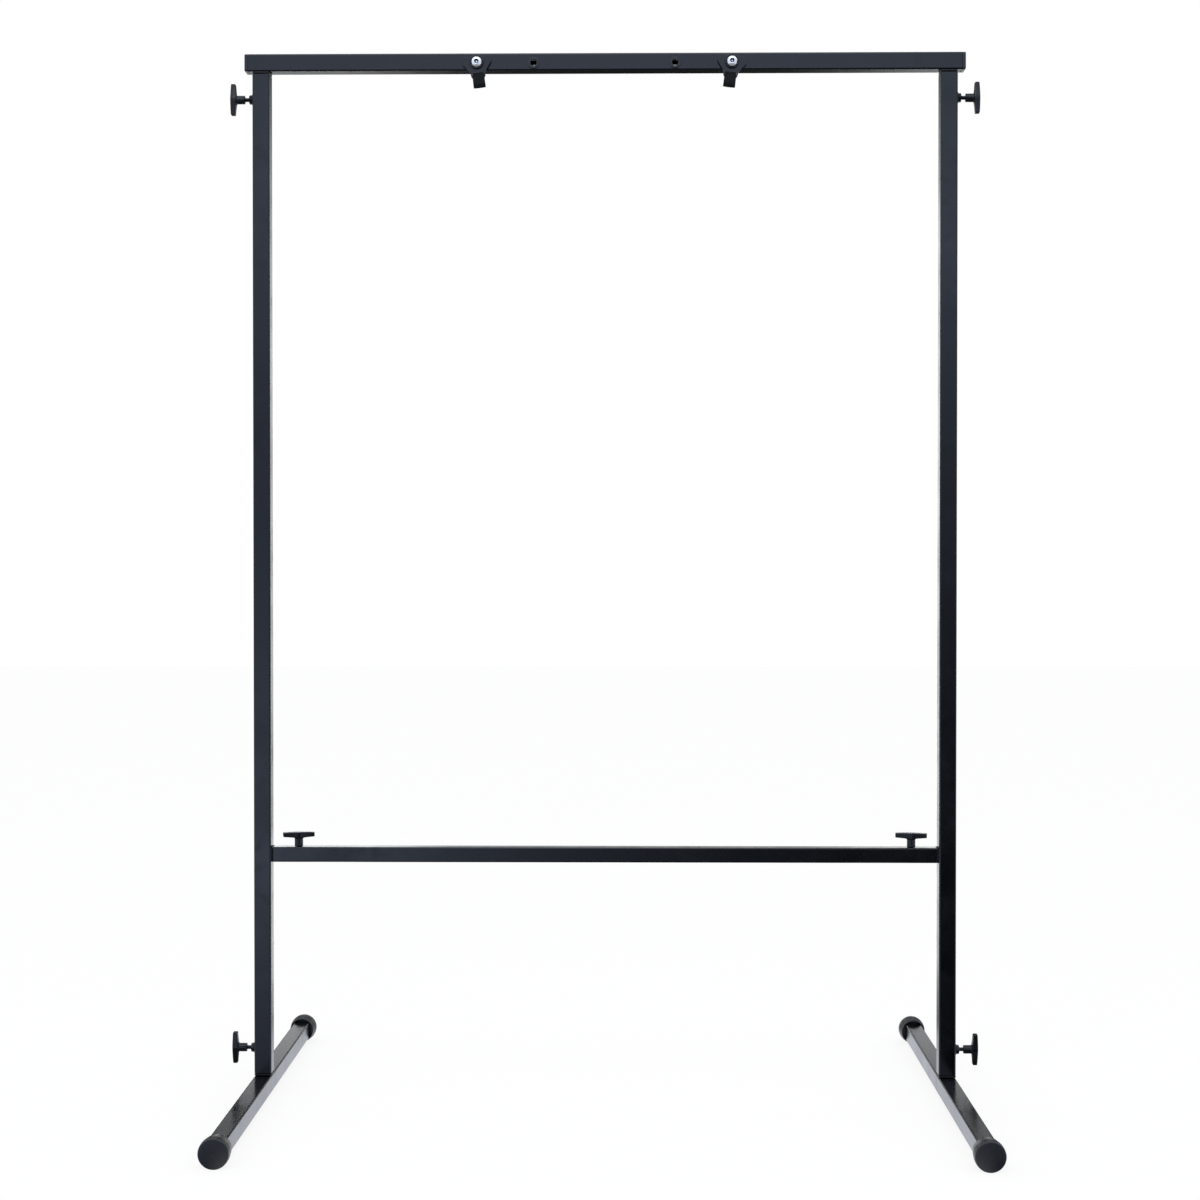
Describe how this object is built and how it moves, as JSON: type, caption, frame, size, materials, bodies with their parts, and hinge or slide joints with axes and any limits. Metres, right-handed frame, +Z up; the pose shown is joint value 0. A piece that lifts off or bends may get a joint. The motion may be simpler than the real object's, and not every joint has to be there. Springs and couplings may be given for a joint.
{
  "type": "gong stand",
  "caption": "Knock-down square-tube gong stand: two uprights on booted cross feet, a top beam with pivoting webbing hangers, a low crossbar, and wing-knob clamps at every joint.",
  "frame": {"origin": "on the floor, below the middle of the frame", "axes": "+Z up, -Y towards the front, where the hangers are, +X towards the stand's right seen from the front"},
  "size_m": [1.0888, 0.76, 1.52],
  "materials": {
    "tube_paint": "satin black powder coat with a fine orange peel",
    "weld_paint": "black powder coat over weld beads and nuts",
    "knob_plastic": "moulded black nylon with a soft gloss",
    "cap_plastic": "moulded black plastic with a fine grain",
    "boot_rubber": "matt black rubber",
    "washer_rubber": "smooth black rubber",
    "strap_webbing": "tightly woven black nylon webbing",
    "plate_steel": "black painted steel plate",
    "bolt_zinc": "bright zinc plate",
    "screw_steel": "blackened steel thread"
  },
  "bodies": {
    "frame": {"upright_left": "tube_paint", "upright_right": "tube_paint", "crossbar": "tube_paint", "crossbar_stub_left": "weld_paint", "crossbar_stub_right": "weld_paint", "weld_nut_top_left": "weld_paint", "weld_nut_top_right": "weld_paint", "weld_nut_bottom_left": "weld_paint", "weld_nut_bottom_right": "weld_paint", "stub_nut_left": "screw_steel", "stub_nut_right": "screw_steel"},
    "beam": {"beam_tube": "tube_paint", "beam_cap_left": "cap_plastic", "beam_cap_right": "cap_plastic", "beam_stub_left": "weld_paint", "beam_stub_right": "weld_paint", "spare_bush_left_front": "cap_plastic", "spare_bush_left_rear": "cap_plastic", "spare_bush_right_front": "cap_plastic", "spare_bush_right_rear": "cap_plastic", "hanger_spacer_left": "cap_plastic", "hanger_spacer_right": "cap_plastic", "cup_washer_left": "washer_rubber", "cup_washer_right": "washer_rubber", "hanger_bolt_left": "bolt_zinc", "hanger_bolt_right": "bolt_zinc", "rear_washer_left": "bolt_zinc", "rear_washer_right": "bolt_zinc", "hanger_nut_left": "bolt_zinc", "hanger_nut_right": "bolt_zinc"},
    "hanger_left": {"hanger_plate_left": "plate_steel", "hanger_strap_left": "strap_webbing"},
    "hanger_right": {"hanger_plate_right": "plate_steel", "hanger_strap_right": "strap_webbing"},
    "foot_left": {"foot_tube_left": "tube_paint", "foot_stub_left": "weld_paint", "boot_left_front": "boot_rubber", "boot_left_rear": "boot_rubber"},
    "foot_right": {"foot_tube_right": "tube_paint", "foot_stub_right": "weld_paint", "boot_right_front": "boot_rubber", "boot_right_rear": "boot_rubber"},
    "screw_top_left": {"knob_screw_top_left": "screw_steel"},
    "screw_top_right": {"knob_screw_top_right": "screw_steel"},
    "screw_bottom_left": {"knob_screw_bottom_left": "screw_steel"},
    "screw_bottom_right": {"knob_screw_bottom_right": "screw_steel"},
    "screw_crossbar_left": {"knob_screw_crossbar_left": "screw_steel"},
    "screw_crossbar_right": {"knob_screw_crossbar_right": "screw_steel"},
    "handle_top_left": {"knob_handle_top_left": "knob_plastic"},
    "handle_top_right": {"knob_handle_top_right": "knob_plastic"},
    "handle_bottom_left": {"knob_handle_bottom_left": "knob_plastic"},
    "handle_bottom_right": {"knob_handle_bottom_right": "knob_plastic"},
    "handle_crossbar_left": {"knob_handle_crossbar_left": "knob_plastic"},
    "handle_crossbar_right": {"knob_handle_crossbar_right": "knob_plastic"}
  },
  "joints": [
    {"name": "beam_lift", "type": "slide", "parent": "frame", "child": "beam", "axis": [0, 0, 1], "range_m": [0, 0.09]},
    {"name": "foot_left_pull", "type": "slide", "parent": "frame", "child": "foot_left", "axis": [0, 0, -1], "range_m": [0, 0.09]},
    {"name": "foot_right_pull", "type": "slide", "parent": "frame", "child": "foot_right", "axis": [0, 0, -1], "range_m": [0, 0.09]},
    {"name": "hanger_left_swivel", "type": "hinge", "parent": "beam", "child": "hanger_left", "pos_m": [-0.1845, -0.01735, 1.5055], "axis": [0, 1, 0], "range_deg": [-33, 47]},
    {"name": "hanger_right_swivel", "type": "hinge", "parent": "beam", "child": "hanger_right", "pos_m": [0.1845, -0.01735, 1.5055], "axis": [0, 1, 0], "range_deg": [-47, 33]},
    {"name": "knob_top_left_travel", "type": "slide", "parent": "frame", "child": "screw_top_left", "axis": [-1, 0, 0], "range_m": [0, 0.002]},
    {"name": "knob_top_left_turn", "type": "hinge", "parent": "screw_top_left", "child": "handle_top_left", "pos_m": [-0.53, 0, 1.456], "axis": [-1, 0, 0], "range_deg": [0, 720]},
    {"name": "knob_top_right_travel", "type": "slide", "parent": "frame", "child": "screw_top_right", "axis": [1, 0, 0], "range_m": [0, 0.002]},
    {"name": "knob_top_right_turn", "type": "hinge", "parent": "screw_top_right", "child": "handle_top_right", "pos_m": [0.53, 0, 1.456], "axis": [1, 0, 0], "range_deg": [0, 720]},
    {"name": "knob_bottom_left_travel", "type": "slide", "parent": "frame", "child": "screw_bottom_left", "axis": [-1, 0, 0], "range_m": [0, 0.002]},
    {"name": "knob_bottom_left_turn", "type": "hinge", "parent": "screw_bottom_left", "child": "handle_bottom_left", "pos_m": [-0.53, 0, 0.07227], "axis": [-1, 0, 0], "range_deg": [0, 720]},
    {"name": "knob_bottom_right_travel", "type": "slide", "parent": "frame", "child": "screw_bottom_right", "axis": [1, 0, 0], "range_m": [0, 0.002]},
    {"name": "knob_bottom_right_turn", "type": "hinge", "parent": "screw_bottom_right", "child": "handle_bottom_right", "pos_m": [0.53, 0, 0.07227], "axis": [1, 0, 0], "range_deg": [0, 720]},
    {"name": "knob_crossbar_left_travel", "type": "slide", "parent": "frame", "child": "screw_crossbar_left", "axis": [0, 0, 1], "range_m": [0, 0.002]},
    {"name": "knob_crossbar_left_turn", "type": "hinge", "parent": "screw_crossbar_left", "child": "handle_crossbar_left", "pos_m": [-0.447, 0, 0.375], "axis": [0, 0, 1], "range_deg": [0, 720]},
    {"name": "knob_crossbar_right_travel", "type": "slide", "parent": "frame", "child": "screw_crossbar_right", "axis": [0, 0, 1], "range_m": [0, 0.002]},
    {"name": "knob_crossbar_right_turn", "type": "hinge", "parent": "screw_crossbar_right", "child": "handle_crossbar_right", "pos_m": [0.447, 0, 0.375], "axis": [0, 0, 1], "range_deg": [0, 720]}
  ],
  "couplings": [
    {"joint": "knob_top_left_travel", "follows": "knob_top_left_turn", "m_per_rad": 0.00015915},
    {"joint": "knob_top_right_travel", "follows": "knob_top_right_turn", "m_per_rad": 0.00015915},
    {"joint": "knob_bottom_left_travel", "follows": "knob_bottom_left_turn", "m_per_rad": 0.00015915},
    {"joint": "knob_bottom_right_travel", "follows": "knob_bottom_right_turn", "m_per_rad": 0.00015915},
    {"joint": "knob_crossbar_left_travel", "follows": "knob_crossbar_left_turn", "m_per_rad": 0.00015915},
    {"joint": "knob_crossbar_right_travel", "follows": "knob_crossbar_right_turn", "m_per_rad": 0.00015915}
  ]
}
